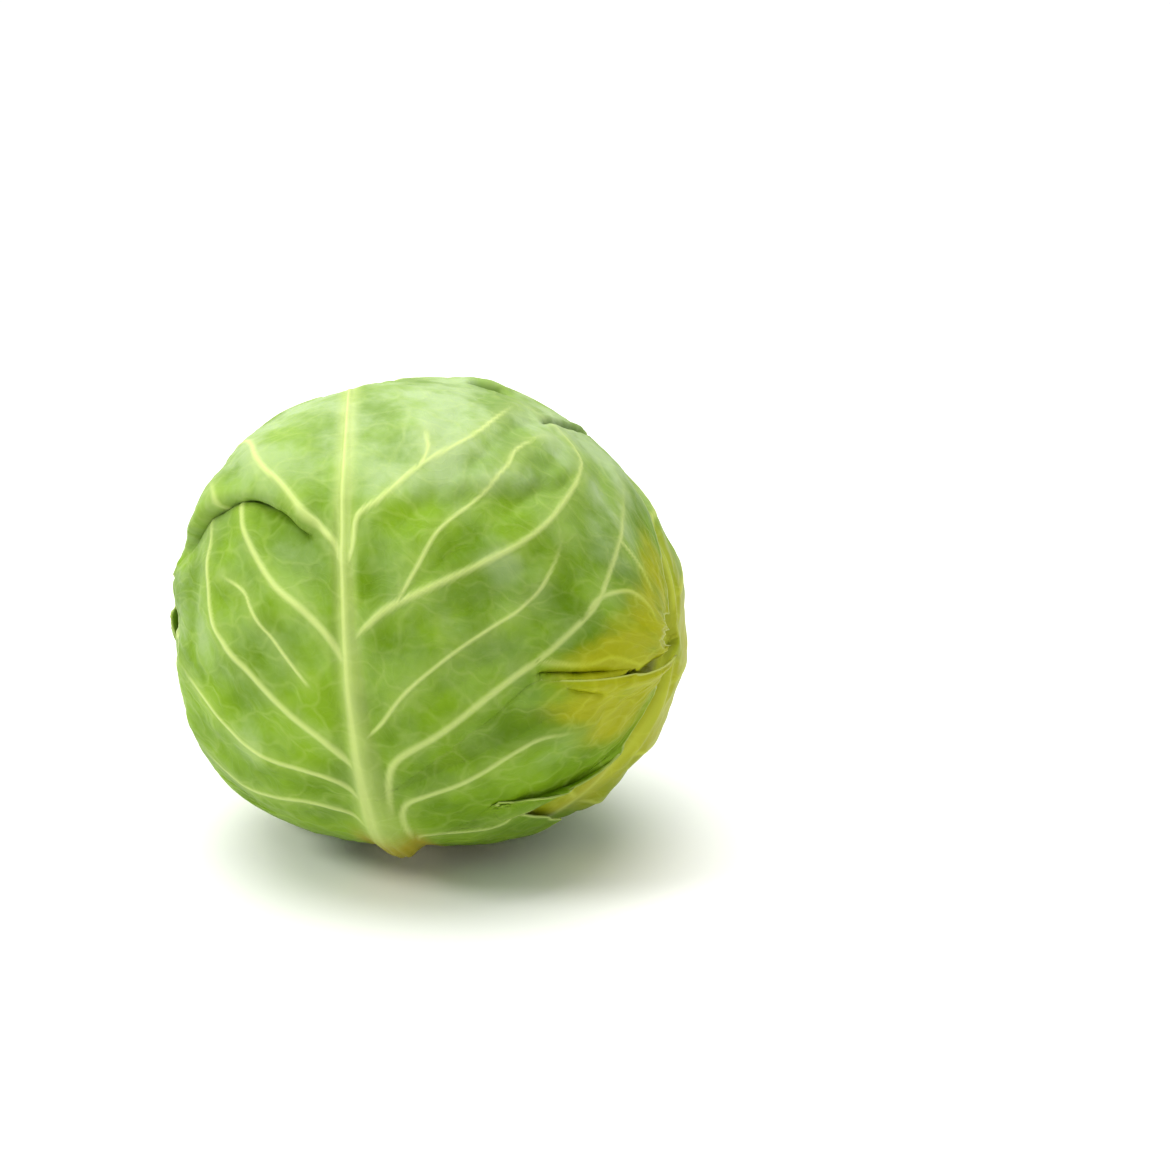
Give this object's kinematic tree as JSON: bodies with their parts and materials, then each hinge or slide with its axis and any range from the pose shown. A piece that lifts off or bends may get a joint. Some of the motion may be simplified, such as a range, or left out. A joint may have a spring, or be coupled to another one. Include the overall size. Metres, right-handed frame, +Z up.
{
  "type": "cabbage head",
  "caption": "Whole white cabbage head with waxy wrapper leaves, pale ribs and a cut stalk, lying tilted on a small flat spot",
  "frame": {"origin": "bottom centre of the bounding box, in the plane that the head rests on", "axes": "+Z up, -Y towards the side with the stalk end, which faces the picture's camera, +X to its right"},
  "size_m": [0.1758, 0.1712, 0.1581],
  "materials": {
    "front_leaf": "waxy leaf with a pale bloom",
    "outer_leaf": "waxy leaf with a pale bloom",
    "inner_leaf": "satin leaf",
    "heart": "satin leaf",
    "stalk": "matt, freshly cut"
  },
  "bodies": {
    "root": {"stalk": "stalk", "heart": "heart", "wrapper_leaf_1": "front_leaf", "wrapper_leaf_2": "outer_leaf", "wrapper_leaf_3": "outer_leaf", "wrapper_leaf_4": "outer_leaf", "wrapper_leaf_5": "inner_leaf", "wrapper_leaf_6": "inner_leaf"}
  },
  "joints": []
}
